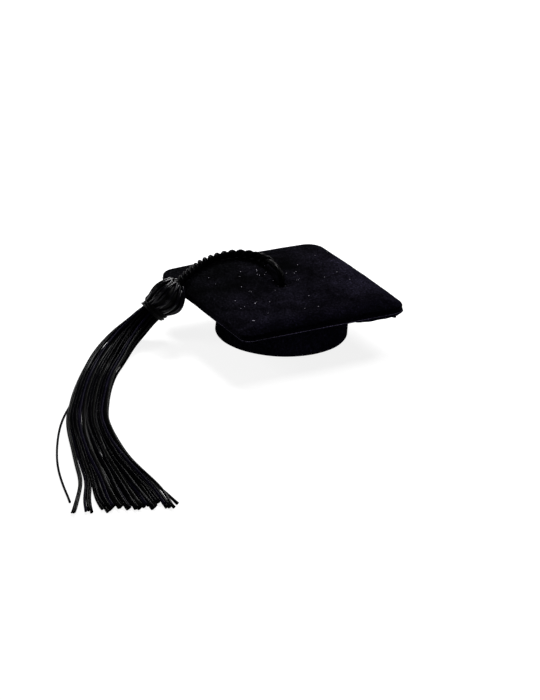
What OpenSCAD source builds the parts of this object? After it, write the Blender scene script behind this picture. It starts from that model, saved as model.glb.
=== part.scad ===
// Miniature graduation cap: a velvet covered square board on a short round crown,
// with a twisted cord that lies across the board and a long tassel beside it.
// The cap stands on the rim of its crown at z = 0, centred on the z axis.

/* [Board] */
// Side of the square board
board_side = 70; // [64:0.5:76]
// Radius of the board's corners in plan
board_corner_r = 6.5; // [5:0.5:9]
// Thickness of the stiff card inside the board
core_t = 1.2; // [0.8:0.1:1.6]
// Thickness of the soft wadding on the card
wadding_t = 1.8; // [1.5:0.1:2.2]
// Thickness of the velvet
velvet_t = 0.45; // [0.3:0.05:0.6]
// Width of the velvet turned under the board
turn_under = 8; // [6:0.5:10]

/* [Crown] */
// Outer diameter of the crown
crown_d = 49.2; // [46:0.2:52]
// Height of the crown, from its rim to the underside of the board
crown_h = 15; // [14:0.1:16]
// Thickness of the crown's card band
band_t = 0.8; // [0.6:0.1:1.2]
// Height of the hem turned up inside the crown
hem_h = 4.5; // [3:0.5:6]

/* [Tassel] */
// Diameter of the twisted cord
cord_d = 3.2; // [2.8:0.1:3.4]
// Diameter of one skirt strand
strand_d = 0.85; // [0.7:0.05:0.85]
// Outer diameter of the thread wound round the neck
binding_d = 10; // [9.8:0.1:10.4]

/* [Hidden] */
STRANDS = 36;

velvet = [0.08, 0.07, 0.10];
card = [0.55, 0.50, 0.42];
silk = [0.07, 0.07, 0.08];

fit = 0.02;                              // gap between glued layers
panel_t = 0.6;
panel_side = board_side - 1;
panel_corner_r = board_corner_r - 0.5;
flange_z = crown_h + panel_t + fit;
core_z = flange_z + velvet_t + fit;
wadding_z = core_z + core_t + fit;
cover_z = wadding_z + wadding_t + fit;
board_top = cover_z + velvet_t;
core_side = board_side - 2 * velvet_t - 2 * fit;
edge_r = (board_top - flange_z) / 2 - 0.05;  // roll of the padded top edge
hole_r = 1.9;                            // cord hole in the middle of the board
fold_clip = 10;                          // corner of the panel that the folds fill
fold_gap = 0.4;                          // between the folds and the outline or panel
fold_drop = 0.3;                         // how far the folds hang below the panel
// Slack roll of velvet under the edge beside one corner: middle and half sizes
slack_mid = [32.4, 23, crown_h + 0.3];
slack_half = [2.1, 11.5, 2];

crown_r = crown_d / 2;
band_r = crown_r - velvet_t - fit;
lining_r = band_r - band_t - velvet_t - 2 * fit;
lining_t = 0.3;
lining_gap = 0.2;                        // between the lining's edges and the board or hem
hem_t = 0.4;
lap_w = 12;                              // width of the velvet strip's lapped end
lap_gap = 0.6;                           // between the lap and the board
lap_bite = 0.1;                          // how far the lap and the hem go into the wall
lap_angle = -92;

cord_r = cord_d / 2;
knot_z = 11.4;
// Cord: up through the hole, over the velvet in an arc, out over the board's edge
cord_route = [
    [0, 0, 14.2], [0, 0, 18.9], [-0.3, 0.1, 20.6], [-1.4, 0.3, 22.1], [-3.3, 0.7, 22.9],
    [-5.8, 1.2, 23.1], [-9, 1.9, 22.8], [-12.7, 2.5, 22.4], [-17.8, 3.1, 22],
    [-22, 2.8, 21.6], [-25.2, 1.4, 21.4], [-27.7, -0.6, 21.3], [-29.3, -3.4, 21.3],
    [-30, -6.8, 21.3], [-29.8, -10.3, 21.3], [-29, -13.8, 21.3], [-27.7, -17.4, 21.3],
    [-25.8, -21, 21.3], [-23.2, -24.6, 21.3], [-20.4, -28.2, 21.3], [-17.5, -31.6, 21.4],
    [-15.2, -34.8, 21]];

// Tassel head: from the cord's end down and outwards to the bound neck
head_top = [-13.6, -37.4, 20];
neck = [-15.6, -44.2, 12.2];
head_axis = neck - head_top;
head_len = norm(head_axis);
head_cap = 2.1;                          // ball at the head's top, where the cord goes in
head_profile = [[0.08, 3.1], [0.17, 4.2], [0.3, 5.1], [0.45, 5.5], [0.6, 5.6],
                [0.75, 5.4], [0.88, 5.1], [1, 4.9]];
binding_len = 3.4;
binding_floor = 0.3;                     // closed end of the binding, against the head
neck_bore = 4.6;

// Skirt: middle line of the bundle and its half width at each station
skirt_mid = [
    [-16.5, -47.3, 8.8], [-15, -52.9, 6.3], [-10.2, -61.5, 4.2], [-1.8, -71, 2.6],
    [7.5, -79.6, 1.5], [18.4, -87.4, 1.4], [28.8, -93.7, 1.4], [38.5, -99.3, 1.4],
    [49, -103.5, 1.4], [61.1, -107, 1.4], [73.5, -110.1, 1.4], [86.3, -112.5, 1.4],
    [98.2, -115.5, 1.2], [106.5, -117.9, 0.9]];
skirt_half = [3.4, 4.45, 6, 6.8, 6.5, 6.7, 7, 7.4, 8, 8.8, 10.2, 12.2, 15, 18];
skirt_lift = [1, 1, 1, 1, 1, 1, 1, 1, 1, 1, 1, 1, 0.75, 0.45];
last = len(skirt_mid) - 1;
layer_h = 0.93;
bundle_pitch = 1.2;                      // between the rings of strands in the neck
bundle_spread = 0.2;                     // how much the rings open at each station
open_by = 4;                             // station where the bundle is a flat fan
// Last two stations: the strand on the right, both sides of the middle group, and the
// middles of the two groups of three on the left
fan_across = [[-15.2, -13.8, 8.6, 11.6, 14.3], [-17.7, -15, 7.6, 12.3, 16.9]];
group_pitch = 0.85;
cut_range = [0.75, 1.2];                 // where strands end on the last stretch
cut_step = 0.618;
// One strand strays out to the left of the rest and is cut shorter
stray = 33;
stray_out = [0, 0, 0, 0, 0, 0, 0.8, 2.3, 4.2, 6.2, 7.2, 7, 3.7, 2.6];
stray_cut = 0.1;

function unit(v) = v / norm(v);
function mix(a, b, t) = a + (b - a) * t;
function ease(t) = t < 0 ? 0 : t > 1 ? 1 : t * t * (3 - 2 * t);
function strand_name(k) = str("strand_", k < 9 ? "0" : "", k + 1);

// Place of strand k in the round bundle: rings of 6, 12 and 18
function ring(k) = k < 6 ? 1 : k < 18 ? 2 : 3;
function in_bundle(k) =
    let (r = ring(k), first = [0, 0, 6, 18][r], a = 60 * (k - first) / r + 11 * r)
    bundle_pitch * r * [cos(a), sin(a)];
// Layer 0 to 2 by height in the bundle, then column 0 to 11 across the layer
function layer(k) =
    floor(len([for (j = [0 : STRANDS - 1]) if (in_bundle(j).y < in_bundle(k).y) 1]) / 12);
function column(k) =
    len([for (j = [0 : STRANDS - 1])
        if (layer(j) == layer(k) && in_bundle(j).x < in_bundle(k).x) 1]);
// Place of strand k across the fan, from 0 on the right to 35 on the left
function rank(k) = 3 * column(k) + [0, 2, 1][layer(k)];
function spread(k) = (2 * rank(k) + 1) / STRANDS - 1;
function across_fan(k, i) =
    let (r = rank(k), f = fan_across[i - last + 1])
    i < last - 1 ? spread(k) * (skirt_half[i] - strand_d / 2)
        : r == 0 ? f[0]
        : r < 30 ? mix(f[1], f[2], (r - 1) / 28)
        : r < 33 ? f[3] + (r - 31) * group_pitch
        : f[4] + (r - 34) * group_pitch;

function stray_bow(k, i) = k == stray ? stray_out[i] : 0;

function skirt_dir(i) = unit(skirt_mid[min(i + 1, last)] - skirt_mid[max(i - 1, 0)]);
function strand_point(k, i) =
    let (
        along = skirt_dir(i),
        side = unit(cross(along, [0, 0, 1])),
        up = cross(side, along),
        open = ease(i / open_by),
        loosen = 1 + bundle_spread * i,
        flat = across_fan(k, i) + stray_bow(k, i),
        across = mix(in_bundle(k).x * loosen, flat, open),
        lift = mix(in_bundle(k).y * loosen, (layer(k) - 1) * layer_h * skirt_lift[i], open))
    skirt_mid[i] + across * side + lift * up;
// Strand k's route, with its own cut length
function strand_route(k) =
    let (cut = k == stray ? stray_cut : mix(cut_range[0], cut_range[1], (k * cut_step) % 1))
    [for (i = [0 : last])
        i < last ? strand_point(k, i) : mix(strand_point(k, i - 1), strand_point(k, i), cut)];

// A tube swept along a route, with its rings carried along without twist
module tube(route, r, sides) {
    n = len(route);
    dirs = [for (i = [0 : n - 1]) unit(route[min(i + 1, n - 1)] - route[max(i - 1, 0)])];
    start = unit(cross(dirs[0], abs(dirs[0].z) > 0.8 ? [0, 1, 0] : [0, 0, 1]));
    sides_at = [for (i = 0, s = start; i < n;
        i = i + 1, s = i < n ? unit(s - (s * dirs[i]) * dirs[i]) : s) s];
    points = [for (i = [0 : n - 1], j = [0 : sides - 1])
        let (a = 360 * j / sides, v = cross(dirs[i], sides_at[i]))
        route[i] + r * cos(a) * sides_at[i] + r * sin(a) * v];
    walls = [for (i = [0 : n - 2], j = [0 : sides - 1])
        let (a = i * sides, b = a + sides, m = (j + 1) % sides) [a + j, b + j, b + m, a + m]];
    near_end = [for (j = [0 : sides - 1]) j];
    far_end = [for (j = [sides - 1 : -1 : 0]) (n - 1) * sides + j];
    polyhedron(points, concat(walls, [near_end, far_end]), convexity = 4);
}

module rounded_square(side, r) {
    square([side, side - 2 * r], center = true);
    square([side - 2 * r, side], center = true);
    for (x = [-1, 1], y = [-1, 1])
        translate([x * (side / 2 - r), y * (side / 2 - r)]) circle(r, $fn = 48);
}

module slab(side, r, z, h) {
    translate([0, 0, z]) linear_extrude(h) rounded_square(side, r);
}

module cord_hole(z, h) {
    translate([0, 0, z - 1]) cylinder(h = h + 2, r = hole_r, $fn = 48);
}

module pipe(r_out, r_in, z, h) {
    translate([0, 0, z]) difference() {
        cylinder(h = h, r = r_out, $fn = 96);
        translate([0, 0, -1]) cylinder(h = h + 2, r = r_in, $fn = 96);
    }
}

// Turns +z onto the direction v
module along(v) {
    rotate([0, acos(v.z / norm(v)), atan2(v.y, v.x)]) children();
}

module board_core() {
    color(card) difference() {
        slab(core_side, board_corner_r - velvet_t, core_z, core_t);
        cord_hole(core_z, core_t);
    }
}

module board_wadding() {
    color("gainsboro") difference() {
        slab(core_side - edge_r, board_corner_r - edge_r, wadding_z, wadding_t);
        cord_hole(wadding_z, wadding_t);
    }
}

// Velvet: a rolled shell over the card and wadding, turned under all round
module board_cover() {
    flat = board_side / 2 - board_corner_r;
    color(velvet) difference() {
        hull() {
            slab(board_side, board_corner_r, flange_z, core_t + velvet_t);
            for (x = [-1, 1], y = [-1, 1])
                translate([x * flat, y * flat, board_top - edge_r])
                    rotate_extrude($fn = 32)
                        translate([board_corner_r - edge_r, 0]) circle(edge_r, $fn = 16);
        }
        slab(core_side + 2 * fit, board_corner_r - velvet_t + fit, core_z - fit,
             core_t + 2 * fit);
        slab(core_side - edge_r + 2 * fit, board_corner_r - edge_r + fit, wadding_z - fit,
             wadding_t + 2 * fit);
        slab(board_side - 2 * turn_under, 1, flange_z - 1, velvet_t + 2);
        cord_hole(crown_h, 10);
    }
}

// Triangle at one corner of the board, inside the rounded outline
module corner_outline(inset, clip) {
    intersection() {
        rounded_square(panel_side - 2 * inset, panel_corner_r);
        translate([panel_side / 2, panel_side / 2]) rotate(45)
            square([clip * sqrt(2), 60], center = true);
    }
}

// Thick mitred folds of velvet under the board's four corners, and a slack roll at one
module corner_folds() {
    color(velvet) {
        for (i = [0 : 3]) rotate(90 * i)
            translate([0, 0, crown_h - fold_drop]) linear_extrude(panel_t + fold_drop)
                corner_outline(fold_gap, fold_clip - fold_gap);
        difference() {
            translate(slack_mid) scale(slack_half) sphere(1, $fn = 32);
            translate([0, 0, crown_h - fit]) cylinder(h = 10, r = board_side, $fn = 4);
        }
    }
}

module underside_panel() {
    color(velvet) translate([0, 0, crown_h]) linear_extrude(panel_t) difference() {
        rounded_square(panel_side, panel_corner_r);
        for (i = [0 : 3]) rotate(90 * i) corner_outline(fold_gap - fit, fold_clip);
        circle(hole_r, $fn = 48);
    }
}

module crown_band() {
    color(card) pipe(band_r, band_r - band_t, hem_t + fit, crown_h - hem_t - 2 * fit);
}

// Velvet strip round the band: wall, hem under the rim, turned-up edge, lapped end
module crown_cover() {
    hem_r = band_r - band_t - fit - velvet_t;
    color(velvet) {
        pipe(crown_r, band_r + fit, 0, crown_h - fit);
        pipe(crown_r - lap_bite, hem_r, 0, hem_t);
        pipe(band_r - band_t - fit, hem_r, 0, hem_h);
        rotate(lap_angle) intersection() {
            pipe(crown_r + velvet_t, crown_r - lap_bite, 0, crown_h - lap_gap);
            translate([0, -lap_w / 2, -1]) cube([crown_d, lap_w, crown_h + 2]);
        }
    }
}

module crown_lining() {
    color("dimgray") pipe(lining_r, lining_r - lining_t, hem_t + lining_gap,
                        crown_h - hem_t - 2 * lining_gap);
}

module tassel_cord() {
    color(silk) tube(cord_route, cord_r, 8);
}

// Stopper knot on the cord's end, inside the crown
module cord_knot() {
    color(silk) translate([0, 0, knot_z]) rotate_extrude($fn = 36)
        polygon([[0, -2.6], [1.9, -2.2], [3.1, -1.1], [3.4, 0.2], [2.9, 1.5], [1.6, 2.8],
                 [0, 2.8]]);
}

module tassel_head() {
    color(silk) translate(head_top) along(head_axis) rotate_extrude($fn = 36)
        polygon(concat(
            [for (a = [-90 : 15 : 0]) head_cap * [cos(a), sin(a)]],
            [for (p = head_profile) [p[1], p[0] * head_len]],
            [[0, head_len]]));
}

module neck_binding() {
    color(silk) translate(neck) along(head_axis) translate([0, 0, fit])
        difference() {
            cylinder(h = binding_len, r = binding_d / 2, $fn = 48);
            translate([0, 0, binding_floor])
                cylinder(h = binding_len, r = neck_bore, $fn = 48);
        }
}

module strand(k) {
    color(silk) tube(strand_route(k), strand_d / 2, 8);
}

board_core();
board_wadding();
board_cover();
corner_folds();
underside_panel();
crown_band();
crown_cover();
crown_lining();
tassel_cord();
cord_knot();
tassel_head();
neck_binding();
for (k = [0 : STRANDS - 1])
    strand(k);
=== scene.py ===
"""Miniature velvet graduation cap with a twisted cord and a long rayon tassel."""
import math

import bpy
import numpy as np
from mathutils import Matrix, Vector, kdtree, noise


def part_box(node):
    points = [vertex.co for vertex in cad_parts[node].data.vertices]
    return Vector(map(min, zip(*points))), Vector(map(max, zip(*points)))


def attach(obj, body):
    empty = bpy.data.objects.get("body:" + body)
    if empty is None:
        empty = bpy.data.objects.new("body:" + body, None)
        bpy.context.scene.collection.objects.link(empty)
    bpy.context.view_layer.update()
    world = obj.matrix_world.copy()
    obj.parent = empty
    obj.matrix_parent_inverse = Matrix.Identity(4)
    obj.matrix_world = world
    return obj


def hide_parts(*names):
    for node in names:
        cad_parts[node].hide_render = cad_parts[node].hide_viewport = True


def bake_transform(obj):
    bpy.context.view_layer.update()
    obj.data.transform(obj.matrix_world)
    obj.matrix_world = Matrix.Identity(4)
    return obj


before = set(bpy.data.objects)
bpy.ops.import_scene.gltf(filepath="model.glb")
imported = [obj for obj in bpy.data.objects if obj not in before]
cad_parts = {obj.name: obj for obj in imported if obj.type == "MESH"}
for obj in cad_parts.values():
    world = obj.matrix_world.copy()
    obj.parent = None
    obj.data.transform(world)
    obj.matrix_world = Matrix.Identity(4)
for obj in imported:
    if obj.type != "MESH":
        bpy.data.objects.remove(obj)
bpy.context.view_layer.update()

MM = 0.001
TAU = 2 * math.pi


# ---------------------------------------------------------------- camera

CAMERA_AZIMUTH, CAMERA_ELEVATION, CAMERA_ROLL = 59.75, 23.6, 2.2
CAMERA_DISTANCE = 1.014
CAMERA_LENS = 137.4
CAMERA_SHIFT = (-0.0143, -0.0276)
CAMERA_CLIP = (0.05, 20)


def make_camera():
    data = bpy.data.cameras.new("camera")
    data.lens = CAMERA_LENS
    data.shift_x, data.shift_y = CAMERA_SHIFT
    data.clip_start, data.clip_end = CAMERA_CLIP
    camera = bpy.data.objects.new("camera", data)
    bpy.context.collection.objects.link(camera)
    a, e = math.radians(CAMERA_AZIMUTH), math.radians(CAMERA_ELEVATION)
    back = Vector((math.sin(a) * math.cos(e), -math.cos(a) * math.cos(e), math.sin(e)))
    turn = (-back).to_track_quat("-Z", "Y").to_matrix().to_4x4()
    roll = Matrix.Rotation(math.radians(CAMERA_ROLL), 4, "Z")
    camera.matrix_world = Matrix.Translation(back * CAMERA_DISTANCE) @ turn @ roll
    bpy.context.scene.camera = camera


make_camera()


# ---------------------------------------------------------------- mesh helpers

def smooth_step(t):
    t = np.clip(t, 0.0, 1.0)
    return t * t * (3 - 2 * t)


def spline(points, per_span):
    """Catmull-Rom curve through the points."""
    p = np.asarray(points, float)
    p = np.vstack([2 * p[0] - p[1], p, 2 * p[-1] - p[-2]])
    out = []
    for i in range(1, len(p) - 2):
        a, b, c, d = p[i - 1:i + 3]
        for t in np.arange(per_span) / per_span:
            out.append(0.5 * (2 * b + (c - a) * t + (2 * a - 5 * b + 4 * c - d) * t ** 2
                              + (3 * b - a - 3 * c + d) * t ** 3))
    out.append(p[-2])
    return np.array(out)


def lengths(path):
    """Distance along the path at each point."""
    return np.concatenate([[0], np.cumsum(np.linalg.norm(np.diff(path, axis=0), axis=1))])


def even(path, step):
    """The same path with its points a step apart."""
    s = lengths(path)
    at = np.linspace(0, s[-1], max(2, int(round(s[-1] / step)) + 1))
    return np.stack([np.interp(at, s, path[:, k]) for k in range(3)], axis=1)


def carried_frames(path, first=(0, 0, 1)):
    """Directions along the path, and two across it carried along without twist."""
    along = np.gradient(path, axis=0)
    along /= np.linalg.norm(along, axis=1)[:, None]
    side = np.zeros_like(along)
    s = np.cross(along[0], np.array(first, float))
    if np.linalg.norm(s) < 0.1:
        s = np.cross(along[0], (0, 1, 0))
    for i, t in enumerate(along):
        s = s - (s @ t) * t
        s = s / np.linalg.norm(s)
        side[i] = s
    return along, side, np.cross(along, side)


def new_object(name, verts, faces, uvs=None):
    mesh = bpy.data.meshes.new(name)
    mesh.from_pydata([tuple(v) for v in verts], [], faces)
    if uvs is not None:
        layer = mesh.uv_layers.new(name="UVMap")
        flat = [c for face in uvs for corner in face for c in corner]
        layer.data.foreach_set("uv", flat)
    mesh.polygons.foreach_set("use_smooth", [True] * len(mesh.polygons))
    mesh.validate()
    obj = bpy.data.objects.new(name, mesh)
    bpy.context.collection.objects.link(obj)
    return obj


def lofted(name, rings, closed_ends=True, round_trip=False):
    """A skin over rings of points. With round_trip, the last ring joins the first."""
    n, m = len(rings), len(rings[0])
    verts = np.asarray(rings, float).reshape(-1, 3)
    faces, uvs = [], []
    s = lengths(np.asarray(rings, float)[:, 0])
    around = [j / m for j in range(m + 1)]
    for i in range(n if round_trip else n - 1):
        k = (i + 1) % n
        far = s[k] if k else s[-1] + np.linalg.norm(rings[0][0] - rings[-1][0])
        for j in range(m):
            q = (j + 1) % m
            faces.append((i * m + j, i * m + q, k * m + q, k * m + j))
            uvs.append(((around[j], s[i] / MM), (around[j + 1], s[i] / MM),
                        (around[j + 1], far / MM), (around[j], far / MM)))
    if closed_ends and not round_trip:
        for i, order in ((0, range(m - 1, -1, -1)), (n - 1, range(m))):
            faces.append(tuple(i * m + j for j in order))
            uvs.append(tuple((0.5, s[i] / MM) for _ in range(m)))
    return new_object(name, verts, faces, uvs)


def tube_rings(path, wide, thick=None, sides=10, twist=0.0, first=(0, 0, 1)):
    """Rings of an oval tube. wide and thick are half sizes, one for each point."""
    n = len(path)
    wide = np.broadcast_to(wide, n)
    thick = wide if thick is None else np.broadcast_to(thick, n)
    _, side, up = carried_frames(path, first)
    turn = np.broadcast_to(twist, n)
    a = np.linspace(0, TAU, sides, endpoint=False)
    c, s = np.cos(turn)[:, None], np.sin(turn)[:, None]
    x, y = side * c + up * s, up * c - side * s
    return (path[:, None] + wide[:, None, None] * np.cos(a)[None, :, None] * x[:, None]
            + thick[:, None, None] * np.sin(a)[None, :, None] * y[:, None])


def rounded_ends(radius, path, tip=0.0004):
    """Narrows a tube's radius over its last bit, so that its ends are domed."""
    s = lengths(path)
    near = np.minimum(s, s[-1] - s)
    return radius * np.sqrt(np.clip(1 - (1 - np.clip(near / tip, 0.02, 1)) ** 2, 0.05, 1))


# ---------------------------------------------------------------- materials

def material(name, base, roughness, build=None, **sockets):
    mat = bpy.data.materials.new(name)
    mat.use_nodes = True
    tree = mat.node_tree
    shader = tree.nodes["Principled BSDF"]
    shader.inputs["Base Color"].default_value = (*base, 1)
    shader.inputs["Roughness"].default_value = roughness
    for socket, value in sockets.items():
        shader.inputs[socket.replace("_", " ")].default_value = value
    if build:
        build(tree, shader)
    return mat


def node(tree, kind, inputs=(), **settings):
    made = tree.nodes.new(kind)
    for key, value in settings.items():
        setattr(made, key, value)
    for socket, value in dict(inputs).items():
        if isinstance(value, bpy.types.NodeSocket):
            tree.links.new(value, made.inputs[socket])
        else:
            made.inputs[socket].default_value = value
    return made


def ramp(tree, value, stops):
    made = node(tree, "ShaderNodeValToRGB", {"Fac": value})
    elements = made.color_ramp.elements
    while len(elements) < len(stops):
        elements.new(0.5)
    for element, (at, colour) in zip(elements, stops):
        element.position = at
        element.color = (*colour, 1)
    return made.outputs["Color"]


def mixed(tree, fac, a, b, blend="MIX"):
    made = node(tree, "ShaderNodeMixRGB", {"Fac": fac, "Color1": a, "Color2": b},
                blend_type=blend)
    return made.outputs["Color"]


def bumped(tree, shader, height, strength, distance):
    made = node(tree, "ShaderNodeBump", {"Height": height, "Strength": strength,
                                         "Distance": distance})
    tree.links.new(made.outputs["Normal"], shader.inputs["Normal"])


def noise_of(tree, place, scale, detail=3.0, roughness=0.6):
    return node(tree, "ShaderNodeTexNoise", {"Vector": place, "Scale": scale,
                                             "Detail": detail, "Roughness": roughness})


PATCH_SCALE, NAP_SCALE, PILE_SCALE = 55, 1350, 4200
# painted light: the velvet's colour is painted lighter along this direction, as if lit more
# from that side
PAINTED_LIGHT_WAY = (9, 5, 0)
PILE_DEPTH = 0.3 * MM


def velvet_nodes(tree, shader, dark, light, paint_x_side_shade):
    """Short pile: fine nap over slow patches of differently laid pile, times a painted light
    falloff that is lighter towards +X and +Y and darker towards -X and -Y.

    With the x-side switch on, painted shade darkens cloth whose surface turns towards +X, so
    the +X rolls and walls read as in shade.
    """
    place = node(tree, "ShaderNodeTexCoord").outputs["Object"]
    patches = noise_of(tree, place, PATCH_SCALE, 4, 0.62).outputs["Fac"]
    # painted light: this slant across the object, added to the patches, drives the painted
    # light falloff below
    slant = node(tree, "ShaderNodeVectorMath", {0: place, 1: PAINTED_LIGHT_WAY},
                 operation="DOT_PRODUCT").outputs["Value"]
    uneven = node(tree, "ShaderNodeMath", {0: slant, 1: patches}, operation="ADD")
    nap = noise_of(tree, place, NAP_SCALE, 3, 0.8).outputs["Fac"]
    pile = noise_of(tree, place, PILE_SCALE, 2, 0.6).outputs["Fac"]
    patches_and_painted_light = ramp(tree, patches, [(0.36, dark), (0.66, light)])
    # painted light falloff: base colour scaled from darker at -X,-Y to lighter at +X,+Y; the
    # colour then carries both the patches and the painted light
    painted_light_falloff = ramp(tree, uneven.outputs[0], [(0.22, (0.58, 0.66, 0.48)),
                                           (0.52, (1, 1, 1)), (0.88, (1.7, 1.65, 1.95))])
    patches_and_painted_light = mixed(tree, 1.0, patches_and_painted_light, painted_light_falloff, "MULTIPLY")
    # painted shade: cloth whose surface normal turns towards +X is darkened, down to about a
    # quarter, standing in for shade on the +X roll and wall
    if paint_x_side_shade:
        normal = node(tree, "ShaderNodeTexCoord").outputs["Normal"]
        fall = node(tree, "ShaderNodeVectorMath", {0: normal, 1: (1, 0, 0)},
                    operation="DOT_PRODUCT").outputs["Value"]
        painted_x_shade = ramp(tree, fall, [(0.03, (1, 1, 1)), (0.20, (0.55, 0.55, 0.6)),
                                    (0.42, (0.24, 0.24, 0.28))])
        patches_and_painted_light = mixed(tree, 1.0, patches_and_painted_light, painted_x_shade, "MULTIPLY")
    grain = ramp(tree, nap, [(0.34, (0.05, 0.05, 0.05)), (0.52, (0.75, 0.75, 0.76)),
                             (0.64, (2.0, 1.95, 2.1)), (0.72, (5.5, 5.4, 5.6))])
    colour = mixed(tree, 1.0, patches_and_painted_light, grain, "MULTIPLY")
    tree.links.new(colour, shader.inputs["Base Color"])
    bumped(tree, shader, mixed(tree, 0.5, nap, pile), 0.8, PILE_DEPTH)


# the x-side switch adds painted shade on cloth that faces +X
def velvet(name, dark, light, sheen=0.012, paint_x_side_shade=False):
    return material(name, dark, 0.95,
                    lambda tree, shader: velvet_nodes(tree, shader, dark, light, paint_x_side_shade),
                    Sheen_Weight=sheen, Sheen_Roughness=0.28,
                    Sheen_Tint=(0.62, 0.52, 0.95, 1), Specular_IOR_Level=0.0)


WEAR_SCALE = 130


def fibre_nodes(tree, shader, dark, light, across, along, slant, depth):
    """Fine filaments that run along a tube, from its own lengthwise UVs."""
    uv = node(tree, "ShaderNodeTexCoord").outputs["UV"]
    split = node(tree, "ShaderNodeSeparateXYZ", {"Vector": uv})
    lean = node(tree, "ShaderNodeMath", {0: split.outputs["Y"], 1: slant},
                operation="MULTIPLY")
    u = node(tree, "ShaderNodeMath", {0: split.outputs["X"], 1: lean.outputs[0]},
             operation="ADD")
    angle = node(tree, "ShaderNodeMath", {0: u.outputs[0], 1: TAU}, operation="MULTIPLY")
    ring_x = node(tree, "ShaderNodeMath", {0: angle.outputs[0]}, operation="COSINE")
    ring_y = node(tree, "ShaderNodeMath", {0: angle.outputs[0]}, operation="SINE")
    z = node(tree, "ShaderNodeMath", {0: split.outputs["Y"], 1: along},
             operation="MULTIPLY")
    place = node(tree, "ShaderNodeCombineXYZ", {
        "X": ring_x.outputs[0], "Y": ring_y.outputs[0], "Z": z.outputs[0]})
    lines = noise_of(tree, place.outputs[0], across, 2, 0.55).outputs["Fac"]
    world = node(tree, "ShaderNodeTexCoord").outputs["Object"]
    wear = noise_of(tree, world, WEAR_SCALE, 3, 0.6).outputs["Fac"]
    colour = ramp(tree, lines, [(0.34, dark), (0.70, light)])
    shade = ramp(tree, wear, [(0.3, (0.6, 0.6, 0.62)), (0.7, (1.3, 1.3, 1.28))])
    tree.links.new(mixed(tree, 1.0, colour, shade, "MULTIPLY"),
                   shader.inputs["Base Color"])
    bumped(tree, shader, lines, 0.55, depth)


def fibre(name, dark, light, roughness, across=5.0, along=0.12, slant=0.0,
          depth=0.00008, **sockets):
    return material(name, dark, roughness,
                    lambda tree, shader: fibre_nodes(tree, shader, dark, light, across,
                                                     along, slant, depth), **sockets)


def mottled(name, dark, light, roughness, scale, depth):
    def build(tree, shader):
        place = node(tree, "ShaderNodeTexCoord").outputs["Object"]
        fine = noise_of(tree, place, scale, 4, 0.65).outputs["Fac"]
        tree.links.new(ramp(tree, fine, [(0.3, dark), (0.7, light)]),
                       shader.inputs["Base Color"])
        bumped(tree, shader, fine, 0.4, depth)
    return material(name, dark, roughness, build)


MATERIALS = {
    # top velvet: painted light falloff across the top, and painted shade on the +X-facing
    # roll switched on
    "top_velvet": velvet("top_velvet", (0.0015, 0.0014, 0.0020),
                         (0.0042, 0.0039, 0.0058), sheen=0.022, paint_x_side_shade=True),
    # the same velvet painted darker with less sheen: painted shade for the crown, panel,
    # pleats and slack roll under the board
    "shaded_wall_velvet": velvet("shaded_wall_velvet", (0.0008, 0.0008, 0.0015),
                          (0.0016, 0.0015, 0.0028), sheen=0.006),
    "cut_edge": velvet("cut_edge", (0.020, 0.018, 0.026), (0.050, 0.046, 0.064)),
    "cord": fibre("cord", (0.0004, 0.0004, 0.0005), (0.0016, 0.0016, 0.0019), 0.20,
                  across=4.0, along=0.5, slant=0.10, depth=0.00010,
                  Specular_IOR_Level=0.006),
    "strand": fibre("strand", (0.0005, 0.0005, 0.0007), (0.0016, 0.0015, 0.0024), 0.22,
                    across=3.5, along=0.10, depth=0.00004, Specular_IOR_Level=0.005),
    "strand_indigo": fibre("strand_indigo", (0.0012, 0.0009, 0.0032),
                           (0.0052, 0.0040, 0.0110), 0.34, across=3.5, along=0.10,
                           depth=0.00004, Specular_IOR_Level=0.005),
    "strand_dull": fibre("strand_dull", (0.0010, 0.0010, 0.0010),
                         (0.0040, 0.0040, 0.0038), 0.30, across=3.5, along=0.10,
                         depth=0.00004, Specular_IOR_Level=0.009),
    "loop": fibre("loop", (0.0006, 0.0006, 0.0010), (0.0040, 0.0036, 0.0066), 0.25,
                  across=4.5, along=0.10, depth=0.00008, Specular_IOR_Level=0.11),
    "thread": fibre("thread", (0.0004, 0.0004, 0.0005), (0.0014, 0.0014, 0.0017), 0.5,
                    across=3.0, along=0.8, slant=0.25, depth=0.00005,
                    Specular_IOR_Level=0.05),
    "lint": mottled("lint", (0.16, 0.15, 0.19), (0.34, 0.33, 0.38), 0.9, 2500, 0.00005),
    "card": mottled("card", (0.30, 0.26, 0.20), (0.48, 0.43, 0.35), 0.9, 900, 0.00005),
    "wadding": mottled("wadding", (0.55, 0.55, 0.54), (0.82, 0.82, 0.80), 1.0, 700,
                       0.0003),
    "lining": mottled("lining", (0.006, 0.006, 0.007), (0.014, 0.014, 0.015), 0.85, 1200,
                      0.00004),
}
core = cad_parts["board_core"]
core = core if isinstance(core, bpy.types.Object) else bpy.data.objects["board_core"]
core.data.materials.clear()
core.data.materials.append(MATERIALS["card"])


def finish_piece(obj, kind, body, slot, *nodes):
    obj.data.materials.append(MATERIALS[kind])
    if body:
        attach(obj, body)
    if nodes:
        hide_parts(*nodes)
    return obj


# ---------------------------------------------------------------- cord

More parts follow.
